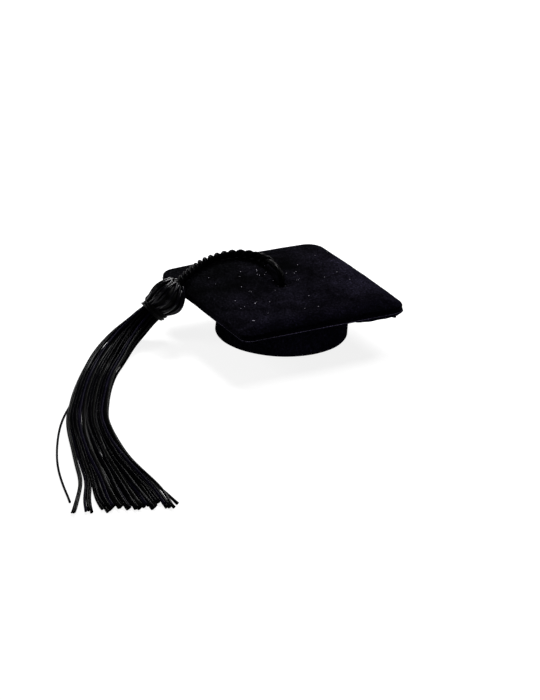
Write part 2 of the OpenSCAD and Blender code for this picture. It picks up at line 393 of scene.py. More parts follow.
PLY_RADIUS = 0.92 * MM
PLY_OFFSET = 0.80 * MM
TWIST_PITCH = 6.7 * MM
TWIST_HAND = -1
PLY_SIDES = 12
CORD_ROUTE = np.array([
    [0, 0, 14.2], [0, 0, 18.9], [-0.3, 0.1, 20.6], [-1.4, 0.3, 22.1], [-3.3, 0.7, 22.9],
    [-5.8, 1.2, 23.1], [-9, 1.9, 22.8], [-12.7, 2.5, 22.4], [-17.8, 3.1, 22],
    [-22, 2.8, 21.6], [-25.2, 1.4, 21.4], [-27.7, -0.6, 21.3], [-29.3, -3.4, 21.3],
    [-30, -6.8, 21.3], [-29.8, -10.3, 21.3], [-29, -13.8, 21.3], [-27.7, -17.4, 21.3],
    [-25.8, -21, 21.3], [-23.2, -24.6, 21.3], [-20.4, -28.2, 21.3], [-17.5, -31.6, 21.4],
    [-15.2, -34.8, 21]]) * MM
HEAD_TOP = np.array([-13.6, -37.4, 20.0]) * MM
NECK = np.array([-15.6, -44.2, 12.2]) * MM
BINDING_LENGTH = 3.4 * MM
HEAD_AXIS = (NECK - HEAD_TOP) / np.linalg.norm(NECK - HEAD_TOP)
MOUTH = NECK + BINDING_LENGTH * HEAD_AXIS
LOOSE_END = 19 * MM
PLY_ANGLE = 2.5
TWIST_EASE = 7 * MM
LEAST_TWIST = 0.02
LOOSE_FROM, LOOSE_RUN, LOOSE_EXTRA = 4 * MM, 22 * MM, 0.95
INSIDE_HEAD = (0.0, 2.0, 4.5)
ROUTE_SPLITS = 12
ROUTE_STEP, PLY_STEP = 0.35 * MM, 0.4 * MM


def make_cord():
    inside = HEAD_TOP + HEAD_AXIS * np.array([[v] for v in INSIDE_HEAD]) * MM
    centre = even(spline(np.vstack([CORD_ROUTE, inside]), ROUTE_SPLITS), ROUTE_STEP)
    s = lengths(centre)
    _, side, up = carried_frames(centre, (0, 1, 0))
    # the two plies lie side by side, untwisted, where they come up from the hole
    tight = smooth_step((s - LOOSE_END) / TWIST_EASE)
    rate = TAU / TWIST_PITCH * (LEAST_TWIST + (1 - LEAST_TWIST) * tight)
    turn = np.concatenate([[0], np.cumsum(0.5 * (rate[1:] + rate[:-1]) * np.diff(s))])
    loose = np.sin(np.pi * np.clip((s - LOOSE_FROM) / LOOSE_RUN, 0, 1)) ** 2
    offset = PLY_OFFSET * (1 + LOOSE_EXTRA * loose)
    plies = []
    for k, name in enumerate(("cord_ply_a", "cord_ply_b")):
        a = TWIST_HAND * turn + k * math.pi + PLY_ANGLE
        path = centre + offset[:, None] * (np.cos(a)[:, None] * side
                                           + np.sin(a)[:, None] * up)
        path = even(path, PLY_STEP)
        rings = tube_rings(path, rounded_ends(PLY_RADIUS, path), sides=PLY_SIDES,
                           first=(0, 1, 0))
        ply = lofted(name, rings)
        finish_piece(ply, "cord", None, "cord", *(["tassel_cord"] if k == 0 else []))
        plies.append((ply, path))
    return plies


plies = make_cord()


# ---------------------------------------------------------------- skirt

STRANDS = 36
STRAND_RADIUS = 0.425 * MM
SKIRT_MID = np.array([
    [-16.5, -47.3, 8.8], [-15, -52.9, 6.3], [-10.2, -61.5, 4.2], [-1.8, -71, 2.6],
    [7.5, -79.6, 1.5], [18.4, -87.4, 1.4], [28.8, -93.7, 1.4], [38.5, -99.3, 1.4],
    [49, -103.5, 1.4], [61.1, -107, 1.4], [73.5, -110.1, 1.4], [86.3, -112.5, 1.4],
    [98.2, -115.5, 1.2], [106.5, -117.9, 0.9]]) * MM
SKIRT_HALF = np.array([3.4, 4.45, 6, 6.8, 6.5, 6.7, 7, 7.4, 8, 8.8, 10.2, 12.2, 15,
                       18]) * MM
SKIRT_LIFT = np.array([1, 1, 1, 1, 1, 1, 1, 1, 1, 1, 1, 1, 0.75, 0.45])
LAYER_HEIGHT = 0.93 * MM
STRAY = 33
STRAY_OUT = np.array([0, 0, 0, 0, 0, 0, 0.8, 2.3, 4.2, 6.2, 7.2, 7, 3.7, 2.6]) * MM
STRAY_CUT = 0.1
BUNDLE_PITCH = 1.2 * MM
BUNDLE_SPREAD = 0.2
OPEN_BY = 4
# last two stations: the strand on the right, both sides of the middle group, and the
# middles of the two groups of three on the left
FAN_ACROSS = np.array([[-15.2, -13.8, 8.6, 11.6, 14.3], [-17.7, -15, 7.6, 12.3, 16.9]]) * MM
GROUP_PITCH = 0.85 * MM
CUT_RANGE = (0.75, 1.2)
CUT_STEP = 0.618
# ranks 1 to MIDDLE_LAST make the middle group; these are the middles of the groups of three
MIDDLE_LAST = 29
INNER_MIDDLE, OUTER_MIDDLE = 31, 34
# the outermost strands, by rank, end a little past or short of their CAD solids
TIP_EXTRA = {0: -0.15, 1: 0.2, 2: 0.25, 3: 0.25, 4: 0.2, 33: 0.3, 34: 0.35, 35: 0.3}
STATIONS = len(SKIRT_MID)


RING_STARTS = (0, 6, 18)
RING_TURN = 11


def in_bundle(k):
    """Place of strand k in the round bundle: rings of 6, 12 and 18."""
    ring = sum(k >= first for first in RING_STARTS)
    a = math.radians(60 * (k - RING_STARTS[ring - 1]) / ring + RING_TURN * ring)
    return BUNDLE_PITCH * ring * np.array([math.cos(a), math.sin(a)])


BUNDLE = np.array([in_bundle(k) for k in range(STRANDS)])
LAYER = np.array([int(np.sum(BUNDLE[:, 1] < b[1])) // 12 for b in BUNDLE])
COLUMN = np.array([int(np.sum((LAYER == LAYER[k]) & (BUNDLE[:, 0] < BUNDLE[k, 0])))
                   for k in range(STRANDS)])
RANK = 3 * COLUMN + np.array([0, 2, 1])[LAYER]
SPREAD = (2 * RANK + 1) / STRANDS - 1


def across_fan(k, i):
    """How far strand k lies across the flat fan at station i."""
    if i < STATIONS - 2:
        return SPREAD[k] * (SKIRT_HALF[i] - STRAND_RADIUS)
    lone, low, high, inner, outer = FAN_ACROSS[i - STATIONS + 2]
    if RANK[k] == 0:
        return lone
    if RANK[k] <= MIDDLE_LAST:
        return low + (high - low) * (RANK[k] - 1) / (MIDDLE_LAST - 1)
    if RANK[k] <= INNER_MIDDLE + 1:
        return inner + (RANK[k] - INNER_MIDDLE) * GROUP_PITCH
    return outer + (RANK[k] - OUTER_MIDDLE) * GROUP_PITCH


def strand_stations(k):
    """Strand k's point at each station of the skirt, as its CAD solid has it."""
    points = []
    for i in range(STATIONS):
        along = SKIRT_MID[min(i + 1, STATIONS - 1)] - SKIRT_MID[max(i - 1, 0)]
        along /= np.linalg.norm(along)
        side = np.cross(along, (0, 0, 1))
        side /= np.linalg.norm(side)
        up = np.cross(side, along)
        opened = float(smooth_step(i / OPEN_BY))
        loosen = 1 + BUNDLE_SPREAD * i
        flat = across_fan(k, i)
        flat += STRAY_OUT[i] if k == STRAY else 0
        across = BUNDLE[k, 0] * loosen * (1 - opened) + flat * opened
        lift = (BUNDLE[k, 1] * loosen * (1 - opened)
                + (LAYER[k] - 1) * LAYER_HEIGHT * SKIRT_LIFT[i] * opened)
        points.append(SKIRT_MID[i] + across * side + lift * up)
    cut = CUT_RANGE[0] + (CUT_RANGE[1] - CUT_RANGE[0]) * ((k * CUT_STEP) % 1)
    cut = STRAY_CUT if k == STRAY else cut + TIP_EXTRA.get(int(RANK[k]), 0)
    points[-1] = points[-2] + (points[-1] - points[-2]) * cut
    return np.array(points)


WANDER, WANDER_GROWS, WANDER_CALMS = 0.60 * MM, 0.85 * MM, 0.55
EDGE_WANDER = 0.3
SLOW_WAVES, QUICK_WAVES, QUICK_SHARE = 2.6, 8.0, 0.3
# where along a strand, as shares of its length
HELD_SHARE = 0.12
WANDER_FROM, WANDER_RUN = 0.35, 0.3
CALM_FROM, CALM_RUN = 0.85, 0.15


def wander(path, k):
    """Small sideways wandering of a strand, widest before its free end."""
    s = lengths(path)
    t = s / s[-1]
    along = carried_frames(path)[0]
    side = np.cross(along, (0, 0, 1))
    side /= np.linalg.norm(side, axis=1)[:, None]
    wave = np.array([noise.noise((k * 7.3, v * SLOW_WAVES, 0.0))
                     + QUICK_SHARE * noise.noise((k * 5.1, v * QUICK_WAVES, 9.0))
                     for v in t])
    size = WANDER + WANDER_GROWS * smooth_step((t - WANDER_FROM) / WANDER_RUN)
    size = size * (1 - WANDER_CALMS * smooth_step((t - CALM_FROM) / CALM_RUN))
    size = size * (EDGE_WANDER if RANK[k] >= MIDDLE_LAST or RANK[k] == 0 else 1)
    return path + side * (wave * size * smooth_step(t / HELD_SHARE))[:, None]


STRAND_STEP = 1.3 * MM
YARN_SIDES = 20
YARN_ENDS = 5
YARN_GROOVE = 0.05
STRAND_KINDS = ("strand", "strand_dull", "strand", "strand", "strand_indigo", "strand",
                "strand_dull")
SETTLE_ROUNDS = 26
SETTLE_GAP = 2.02 * STRAND_RADIUS
HELD_LENGTH, FREE_AFTER = 4 * MM, 8 * MM
PUSH, PUSH_UP, PUSH_DOWN = 0.45, 1.6, 0.4
STIFFNESS = 0.25
SINK = 0.02 * MM


def settle(paths):
    """Pushes strands apart where they cut into each other and keeps them on the floor."""
    owner = np.concatenate([[k] * len(p) for k, p in enumerate(paths)])
    free = np.concatenate([smooth_step((lengths(p) - HELD_LENGTH) / FREE_AFTER)
                           for p in paths])
    points = np.vstack(paths)
    for _ in range(SETTLE_ROUNDS):
        tree = kdtree.KDTree(len(points))
        for i, p in enumerate(points):
            tree.insert(p, i)
        tree.balance()
        push = np.zeros_like(points)
        for i, p in enumerate(points):
            for q, j, d in tree.find_range(p, SETTLE_GAP):
                if owner[j] != owner[i] and d > 1e-9:
                    apart = (p - np.array(q)) / d
                    apart[2] *= PUSH_UP if p[2] >= q[2] else PUSH_DOWN
                    push[i] += PUSH * (SETTLE_GAP - d) * apart
        points += push * free[:, None]
        points[:, 2] = np.maximum(points[:, 2], STRAND_RADIUS)
        start = 0
        for p in paths:
            part = points[start:start + len(p)]
            bent = 0.5 * (part[:-2] + part[2:]) - part[1:-1]
            part[1:-1] += STIFFNESS * bent * free[start + 1:start + len(p) - 1, None]
            part[1:-1, 2] -= SINK * free[start + 1:start + len(p) - 1]
            start += len(p)
        points[:, 2] = np.maximum(points[:, 2], STRAND_RADIUS)
    out, start = [], 0
    for p in paths:
        out.append(points[start:start + len(p)])
        start += len(p)
    return out


ROOT_DEPTH = 1.6 * MM
SMOOTH_STEP = 0.9 * MM
FLARE_LENGTH = 2.6 * MM
NECK_BROAD, BROAD, BROAD_VARIES = 1.15, 1.72, 0.35
BROAD_STEP = 2.4
BROAD_RANKS = range(2, 27)
OUTER_BROAD = 0.45
NARROWS_FROM, NARROWS_RUN = 0.55, 0.25
OPENS_FROM, OPENS_RUN = 10 * MM, 25 * MM
FLARE_WIDE, FLARE_THIN = 0.25, 0.28
STRAY_BROAD, STRAY_NECK = 0.95, 0.2
YARN_TWIST, TWIST_LENGTH = 0.9, 30 * MM
FLOOR_GAP = 0.02 * MM


def make_strands():
    root_shift = MOUTH - HEAD_AXIS * ROOT_DEPTH - SKIRT_MID[0]
    paths = []
    for k in range(STRANDS):
        stations = strand_stations(k)
        root = stations[0] + root_shift
        path = even(spline(np.vstack([[root], stations]), 10), STRAND_STEP)
        paths.append(wander(path, k))
    paths = settle(paths)
    made = []
    for k, path in enumerate(paths):
        path = even(spline(path, 3), SMOOTH_STEP)
        s = lengths(path)
        t = (s[-1] - s) / FLARE_LENGTH
        flare = np.exp(-t ** 2)
        broad = BROAD + BROAD_VARIES * math.sin(BROAD_STEP * k)
        if RANK[k] not in BROAD_RANKS:
            narrowed = smooth_step((s / s[-1] - NARROWS_FROM) / NARROWS_RUN)
            broad = NECK_BROAD + OUTER_BROAD * (1 - narrowed)
        opened = smooth_step((s - OPENS_FROM) / OPENS_RUN)
        wide = STRAND_RADIUS * (NECK_BROAD + (broad - NECK_BROAD) * opened
                                + FLARE_WIDE * flare)
        thick = STRAND_RADIUS * (1.0 - FLARE_THIN * flare)
        if k == STRAY:
            wide = thick = STRAND_RADIUS * (STRAY_BROAD + STRAY_NECK * (1 - opened))
        twist = YARN_TWIST * np.array([noise.noise((k * 3.7, v / TWIST_LENGTH, 4.0))
                                       for v in s])
        rings = tube_rings(path, wide, thick, sides=YARN_SIDES, twist=twist * (1 - flare))
        ends = 1 + YARN_GROOVE * np.cos(YARN_ENDS * np.linspace(0, TAU, YARN_SIDES, False))
        rings = path[:, None] + (rings - path[:, None]) * ends[None, :, None]
        rings[:, :, 2] = np.maximum(rings[:, :, 2], FLOOR_GAP)
        strand = lofted("strand_%02d_yarn" % (k + 1), rings)
        finish_piece(strand, STRAND_KINDS[RANK[k] % len(STRAND_KINDS)], None, "tassel",
                     "strand_%02d" % (k + 1))
        made.append((strand, path))
    return made


strands = make_strands()
for strand, path in strands:
    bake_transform(strand)


# ---------------------------------------------------------------- tassel head

LOOPS = 14
HEAD_BULGE = np.array([-10.8, -42.2, 15.9]) * MM
HEAD_PROFILE = np.array([[-0.14, 1.6], [-0.06, 2.9], [0.0, 3.6], [0.08, 4.4], [0.17, 5.2],
                         [0.3, 6.0], [0.45, 6.5], [0.6, 6.5], [0.75, 6.1], [0.88, 5.6],
                         [1.0, 5.1], [1.12, 4.9]])
# below the board's top, the head's strands stay outside its edge
BOARD_CLEAR_Z, BOARD_CLEAR_Y = 19 * MM, -35.2 * MM
CORE_INSET = 0.9 * MM
CORE_STARTS_AT, LOOP_ENDS_AT = -0.12, 1.1
LOOP_HALF, LOOP_CURVE = 0.62, 2.4
CREST, CREST_STEP = -0.10, 0.12
HIGH_INSET, LOW_INSET = 0.15 * MM, 0.55 * MM
SWING, SWING_CURVE = 1.55, 0.8
PINCH, PINCH_FROM, PINCH_RUN = 0.35, 0.55, 0.5
RISE, RISE_SPREAD = 0.35 * MM, 0.35
LOOP_WIDE, LOOP_THICK, LOOP_STEP = 0.66 * MM, 0.46 * MM, 0.5 * MM


def head_frame():
    side = np.cross(HEAD_AXIS, (0, 0, 1))
    side /= np.linalg.norm(side)
    return side, np.cross(side, HEAD_AXIS)


def on_head(t, angle, inset):
    """A point on the head, at t along its curved middle line and angle round it."""
    side, up = head_frame()
    middle = (1 - t) ** 2 * HEAD_TOP + 2 * t * (1 - t) * HEAD_BULGE + t * t * NECK
    if t < 0 or t > 1:
        end, way = (HEAD_TOP, HEAD_BULGE - HEAD_TOP) if t < 0 else (NECK, NECK - HEAD_BULGE)
        middle = end + 2 * way * (t if t < 0 else t - 1)
    r = np.interp(t, HEAD_PROFILE[:, 0], HEAD_PROFILE[:, 1]) * MM - inset
    point = middle + r * (math.cos(angle) * side + math.sin(angle) * up)
    if point[2] < BOARD_CLEAR_Z:
        point[1] = min(point[1], BOARD_CLEAR_Y)
    return point


def make_head():
    """Strands laid up the head, turned over by the cord and laid down again."""
    t_in = np.linspace(CORE_STARTS_AT, LOOP_ENDS_AT, 28)
    core = np.array([[on_head(t, a, CORE_INSET) for a in np.linspace(0, TAU, 40, False)]
                     for t in t_in])
    pieces = [finish_piece(lofted("head_core", core), "thread", "tassel", "tassel",
                           "tassel_head")]
    for k in range(LOOPS):
        middle = TAU * k / LOOPS + 0.12 * math.sin(5.0 * k)
        half = TAU / LOOPS * (LOOP_HALF + 0.12 * math.sin(3.1 * k + 1))
        crest = CREST + CREST_STEP * (k % 3) / 2 + 0.03 * math.sin(2.3 * k)
        inset = LOW_INSET if k % 2 else HIGH_INSET
        path = []
        for u in np.linspace(-1, 1, 31):
            t = crest + (LOOP_ENDS_AT - crest) * abs(u) ** LOOP_CURVE
            swing = math.copysign(min(1.0, abs(u) * SWING) ** SWING_CURVE, u)
            pinch = 1 - PINCH * smooth_step((t - PINCH_FROM) / PINCH_RUN)
            rise = RISE * math.exp(-(u / RISE_SPREAD) ** 2)
            path.append(on_head(t, middle + half * swing * pinch, inset - rise))
        path = even(spline(np.array(path), 3), LOOP_STEP)
        rings = tube_rings(path, LOOP_WIDE, LOOP_THICK, sides=10)
        loop = lofted("head_loop_%02d" % (k + 1), rings)
        pieces.append(finish_piece(loop, "loop", "tassel", "tassel"))
    return pieces


head = make_head()


THREAD_RADIUS = 0.26 * MM
THREAD_TURNS, CROSSING_TURNS = 7, 2.2
WOUND_AT, CROSSING_AT = 4.72, 4.95
WOUND_FROM, WOUND_OVER = 0.3, 2.9
CROSSING_FROM, CROSSING_BACK = 3.2, 2.7
THREAD_STEP = 0.45 * MM


def make_binding():
    """Thread wound tightly round the neck, with two turns crossing the others."""
    side, up = head_frame()
    path = []
    for v in np.linspace(0, 1, 340):
        a = TAU * THREAD_TURNS * v
        r = (WOUND_AT + 0.05 * math.sin(3.3 * a)) * MM
        at = (WOUND_FROM + WOUND_OVER * v) * MM
        path.append(NECK + HEAD_AXIS * at + r * (math.cos(a) * side + math.sin(a) * up))
    for v in np.linspace(0.02, 1, 110):
        a = TAU * CROSSING_TURNS * v
        r = (CROSSING_AT + 0.2 * math.sin(min(1, 4 * v) * math.pi / 2)) * MM
        at = (CROSSING_FROM - CROSSING_BACK * v + 0.5 * math.sin(a * 1.5)) * MM
        path.append(NECK + HEAD_AXIS * at + r * (math.cos(a) * side + math.sin(a) * up))
    path = even(np.array(path), THREAD_STEP)
    rings = tube_rings(path, THREAD_RADIUS, sides=8)
    return finish_piece(lofted("neck_thread", rings), "thread", "tassel", "tassel",
                        "neck_binding")


binding = make_binding()

for ply, path in plies:
    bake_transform(ply)


KNOT_REACH = np.array([0.22, 0.22, 0.42])
KNOT_CORD_RADIUS = 0.95 * MM


def make_knot():
    """A trefoil of the cord, pulled tight, under the board."""
    low, high = (np.array(c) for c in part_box("cord_knot"))
    centre, size = (low + high) / 2, (high - low) / 2
    path = []
    for a in np.linspace(0, TAU, 140, endpoint=False):
        x = math.sin(a) + 2 * math.sin(2 * a)
        y = math.cos(a) - 2 * math.cos(2 * a)
        z = -math.sin(3 * a)
        path.append(centre + np.array([x, y, z]) * KNOT_REACH * size)
    rings = tube_rings(np.array(path), KNOT_CORD_RADIUS, sides=12)
    return finish_piece(lofted("stopper_knot", rings, round_trip=True), "cord", "cord",
                        "cord", "cord_knot")


make_knot()


# ---------------------------------------------------------------- board

board_low, board_high = (np.array(c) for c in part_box("board_cover"))
BOARD_HALF = board_high[0]
BOARD_TOP = board_high[2]
FLANGE_Z = board_low[2]
PANEL_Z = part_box("underside_panel")[0][2]
CORNER_RADIUS = 6.5 * MM
VELVET = 0.45 * MM
TURN_UNDER = 8 * MM
HOLE_RADIUS = 1.9 * MM
PER_SIDE, PER_CORNER = 30, 18
PAD_RUN = 7.8 * MM
PAD_SAG = 1.6 * MM
EDGE_ROUND = 1.2 * MM
FAR_FULLER = 2.2 * MM
PUFF = 0.2 * MM
LOWER_ROLL = 0.55 * MM
CORNER_FOLD = 2.6 * MM
HOLE_SINK, HOLE_SINK_RUN = 0.9 * MM, 2.4 * MM
HOLE_TO_SQUARE = 14 * MM
EDGE_PADDING = 0.4
COVER_THICK = VELVET * 0.9
# the velvet's unevenness: size across in metres, height in millimetres
BROAD_UNEVEN, FINE_UNEVEN = (10 * MM, 0.16), (3.2 * MM, 0.05)
CORNER_FROM, CORNER_RUN, CORNER_DIP = 1.45, 0.3, 0.5
WALL_UNEVEN, WALL_IN = 0.6, 0.10
LEAST_RADIUS = 0.05 * MM


def outline(half, radius, folded=0.0):
    """A rounded square as points, always the same number for each side and corner.

    folded is how much sharper the cloth is folded round the corner at +X, -Y.
    """
    radius = max(radius, LEAST_RADIUS)
    radii = [max(radius - folded, LEAST_RADIUS), radius, radius, radius]
    points = []
    for quarter in range(4):
        a0 = quarter * math.pi / 2 - math.pi / 2
        out = np.array([math.cos(a0), math.sin(a0)])
        way = np.array([-math.sin(a0), math.cos(a0)])
        last, flat = half - radii[quarter - 1], half - radii[quarter]
        for v in np.linspace(-last, flat, PER_SIDE, endpoint=False):
            points.append(out * half + way * v)
        for v in np.linspace(0, 1, PER_CORNER, endpoint=False):
            a = a0 + v * math.pi / 2
            points.append((out + way) * flat
                          + radii[quarter] * np.array([math.cos(a), math.sin(a)]))
    return np.array(points)


def wobble(x, y, z, scale, seed):
    return noise.noise((x / scale, y / scale, z / scale + seed))


def cover_profile():
    """Section of the cover from the hole outwards: half size, height, lean, padding."""
    profile = []
    steepest = math.atan(2 * PAD_SAG / PAD_RUN)
    flat = BOARD_HALF - PAD_RUN - EDGE_ROUND * (1 - math.sin(steepest))
    top = BOARD_TOP - PUFF
    for v in np.linspace(0, 1, 24):
        half = HOLE_RADIUS + (flat - HOLE_RADIUS) * v ** 1.5
        sink = HOLE_SINK * math.exp(-((half - HOLE_RADIUS) / HOLE_SINK_RUN) ** 2)
        crowned = PUFF * (1 - (half / flat) ** 4)
        profile.append((half, top + crowned - sink, 0.0, 1.0))
    for v in np.linspace(0, 1, 15)[1:]:
        profile.append((flat + PAD_RUN * v, top - PAD_SAG * v ** 2,
                        math.atan(math.tan(steepest) * v), 1 - (1 - EDGE_PADDING) * v))
    for a in np.linspace(steepest, math.pi / 2, 9)[1:]:
        drop = EDGE_ROUND * (math.cos(steepest) - math.cos(a))
        profile.append((BOARD_HALF - EDGE_ROUND * (1 - math.sin(a)), top - PAD_SAG - drop,
                        a, EDGE_PADDING * math.cos(a)))
    profile.append((BOARD_HALF, FLANGE_Z + LOWER_ROLL + 0.1 * MM, math.pi / 2, 0.0))
    for a in np.linspace(math.pi / 2, math.pi, 6):
        profile.append((BOARD_HALF - LOWER_ROLL * (1 - math.sin(a)),
                        FLANGE_Z + LOWER_ROLL * (1 + math.cos(a)), a, 0.0))
    for v in np.linspace(0, 1, 7)[1:]:
        profile.append((BOARD_HALF - LOWER_ROLL - (TURN_UNDER - LOWER_ROLL) * v, FLANGE_Z,
                        math.pi, 0.0))
    return profile


def make_board_cover():
    """Velvet over the padded card: hole, puffed top, rolled edge, wall, turned hem."""
    corner = outline(BOARD_HALF, CORNER_RADIUS)
    round_hole = np.array([[math.cos(a), math.sin(a)]
                           for a in np.arctan2(corner[:, 1], corner[:, 0])])
    outer, inner = [], []
    for half, z, lean, padding in cover_profile():
        below = smooth_step((BOARD_TOP - z) / (BOARD_TOP - FLANGE_Z))
        square = outline(half, CORNER_RADIUS - min(BOARD_HALF - half, CORNER_RADIUS * 0.8),
                         CORNER_FOLD * below)
        fade = smooth_step((half - HOLE_RADIUS) / HOLE_TO_SQUARE)
        ring_out, ring_in = [], []
        for (x, y), (hx, hy) in zip(square, round_hole):
            x = x * fade + hx * half * (1 - fade)
            y = y * fade + hy * half * (1 - fade)
            out = np.array([x, y]) / max(math.hypot(x, y), 1e-9)
            rough = (wobble(x, y, z, BROAD_UNEVEN[0], 3.0) * BROAD_UNEVEN[1]
                     + wobble(x, y, z, FINE_UNEVEN[0], 8.0) * FINE_UNEVEN[1])
            near_corner = max(0.0, abs(x) + abs(y) - CORNER_FROM * BOARD_HALF)
            near_corner /= CORNER_RUN * BOARD_HALF
            lift = (rough * padding - CORNER_DIP * near_corner * padding) * MM
            lift += FAR_FULLER * smooth_step((y - x) / BOARD_HALF) * (1 - padding) * padding
            side = (WALL_UNEVEN * rough - WALL_IN) * MM * (1 - padding)
            p = np.array([x + out[0] * side, y + out[1] * side, z + lift])
            normal = np.array([out[0] * math.sin(lean), out[1] * math.sin(lean),
                               math.cos(lean)])
            ring_out.append(p)
            ring_in.append(p - COVER_THICK * normal)
        outer.append(ring_out)
        inner.append(ring_in)
    rings = np.array(outer + inner[::-1])
    cover = lofted("board_velvet", rings, round_trip=True)
    return finish_piece(cover, "top_velvet", "cap", "velvet", "board_cover")


board = make_board_cover()


WADDING_UNDER = 1.0 * MM
WADDING_SOLID = 0.05 * MM
WADDING_UNEVEN = 0.08 * MM
WADDING_RADIUS = 1.3 * MM
THIN_PADDING = 0.45


def make_wadding():
    """The soft pad under the velvet, thinned out towards the board's edges."""
    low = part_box("board_wadding")[0][2]
    above = [ring for ring in cover_profile() if ring[3] > THIN_PADDING]
    rings = []
    for half, z, _, _ in above:
        half = max(half - WADDING_UNDER * 0.8, HOLE_RADIUS)
        rings.append((half, max(low + WADDING_SOLID, z - WADDING_UNDER)))
    rings.append((rings[-1][0] + 0.1 * MM, low))
    rings.append((HOLE_RADIUS + 4 * MM, low))
    rings.append((HOLE_RADIUS, low))
    corner = outline(BOARD_HALF, CORNER_RADIUS)
    angles = np.arctan2(corner[:, 1], corner[:, 0])
    skin = []
    for half, z in rings:
        square = outline(half, max(WADDING_RADIUS, CORNER_RADIUS - (BOARD_HALF - half)))
        fade = smooth_step((half - HOLE_RADIUS) / HOLE_TO_SQUARE)
        skin.append([(x * fade + half * math.cos(a) * (1 - fade),
                      y * fade + half * math.sin(a) * (1 - fade),
                      z + WADDING_UNEVEN * wobble(x, y, 0, 2.2 * MM, 5.0)
                      * (z > low + 0.1 * MM))
                     for (x, y), a in zip(square, angles)])
    pad = lofted("wadding_pad", np.array(skin), round_trip=True)
    return finish_piece(pad, "wadding", "cap", "wadding", "board_wadding")


wadding = make_wadding()


PANEL_INSET = 0.12 * MM
RAGGED, RAGGED_ACROSS = 0.09 * MM, 1.1 * MM
WAVY, WAVY_ACROSS = 0.12 * MM, 7 * MM
# share of the panel's half side and share of its height, from its top round to its underside
PANEL_STEPS = [(0.05, 1), (0.5, 1), (0.9, 1), (0.985, 1), (1.0, 0.95), (1.0, 0.60),
               (0.994, 0), (0.9, 0), (0.5, 0), (0.05, 0)]
CUT_EDGE_STEP = 4


def make_panel():
    """The velvet faced panel under the board, with its slightly ragged cut edge."""
    half = BOARD_HALF - PANEL_INSET
    z_low, z_high = PANEL_Z + 0.02 * MM, FLANGE_Z - 0.01 * MM
    rings = []
    for share, high in PANEL_STEPS:
        ring = outline(half * share, (CORNER_RADIUS - 0.5 * MM) * share,
                       CORNER_FOLD * share)
        near_edge = share > 0.95
        pts = []
        for x, y in ring:
            out = np.array([x, y]) / np.hypot(x, y)
            ragged = RAGGED * wobble(x, y, 0, RAGGED_ACROSS, 5.0) * near_edge
            ragged += WAVY * wobble(x, y, 0, WAVY_ACROSS, 6.0) * near_edge
            pts.append((x + out[0] * ragged, y + out[1] * ragged,
                        z_low + (z_high - z_low) * high))
        rings.append(pts)
    panel = lofted("panel_velvet", np.array(rings))
    finish_piece(panel, "shaded_wall_velvet", "cap", "velvet", "underside_panel")
    panel.data.materials.append(MATERIALS["cut_edge"])
    m = len(rings[0])
    for i, face in enumerate(panel.data.polygons):
        if i // m == CUT_EDGE_STEP:
            face.material_index = 1
    return panel


panel = make_panel()


PLEAT_LEANS = (-0.62, -0.22, 0.2, 0.6)
PLEAT_SHORT, PLEAT_LONG = 1.1 * MM, 6.0 * MM
PLEAT_STEPS = 12


def make_corner_folds():
    """A small fan of pleats under each corner of the board."""
    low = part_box("corner_folds")[0]
    pieces = []
    for corner in range(4):
        turn = math.pi / 4 + corner * math.pi / 2
        out = np.array([math.cos(turn), math.sin(turn), 0])
        side = np.array([-out[1], out[0], 0])
        reach = (BOARD_HALF - CORNER_RADIUS) * math.sqrt(2) + CORNER_RADIUS
        for k, lean in enumerate(PLEAT_LEANS):
            tip = (out * (reach - PLEAT_SHORT - 0.8 * MM * abs(lean))
                   + side * lean * 5.5 * MM)
            root = out * (reach - PLEAT_LONG) + side * lean * 1.6 * MM
            path = np.linspace(tip, root, PLEAT_STEPS)
            path[:, 2] = low[2] + 0.50 * MM + 0.06 * MM * math.sin(2.1 * k + corner)
            t = np.linspace(0, 1, PLEAT_STEPS)
            wide = (0.75 + 0.35 * np.sin(np.pi * t)) * MM * np.clip(6 * t + 0.4, 0, 1)
            wide = wide * np.clip(6 * (1 - t) + 0.3, 0, 1)
            rings = tube_rings(path, wide, np.minimum(wide, 0.40 * MM), sides=12)
            name = "corner_pleat_%d%d" % (corner + 1, k + 1)
            nodes = ["corner_folds"] if corner == 0 and k == 0 else []
            pleat = lofted(name, rings)
            pieces.append(finish_piece(pleat, "shaded_wall_velvet", "cap", "velvet", *nodes))
    return pieces


make_corner_folds()


SLACK_MIDDLE = np.array([32.4, 23, 15.2]) * MM
SLACK_HALF = np.array([2.1, 11.5, 1.7]) * MM
SLACK_ABOVE = 0.25 * MM
SLACK_DROP = 0.3 * MM


def make_slack_fold():
    """A slack roll of velvet that hangs under the board's edge beside one corner."""
    rings = []
    for v in np.linspace(-1, 1, 61):
        size = math.sqrt(max(0.02, 1 - abs(v) ** 2.6))
        y = SLACK_MIDDLE[1] + SLACK_HALF[1] * v
        inset = 0.9 * MM * max(0.0, (v - 0.55) / 0.45) ** 2
        ring = []
        for a in np.linspace(0, TAU, 28, endpoint=False):
            pleat = 1 + 0.10 * wobble(math.cos(a), math.sin(a), v * 3.5, 1.0, 4.0)
            deep = SLACK_HALF[2] if math.sin(a) < 0 else SLACK_ABOVE
            x = SLACK_MIDDLE[0] - inset + SLACK_HALF[0] * size * math.cos(a) * pleat
            z = SLACK_MIDDLE[2] - SLACK_DROP + deep * size * math.sin(a) * pleat
            ring.append((x, y, z))
        rings.append(ring)
    roll = lofted("slack_roll", np.array(rings))
    return finish_piece(roll, "shaded_wall_velvet", "cap", "velvet")


make_slack_fold()


LINT_TRIES, LINT_SEED = 46, 11
LINT_PATCHES = [[6, 12], [-4, 2], [9, -18]]
LINT_SPREAD = 9 * MM
LINT_RADIUS = 0.13 * MM
LINT_SIDES = 6


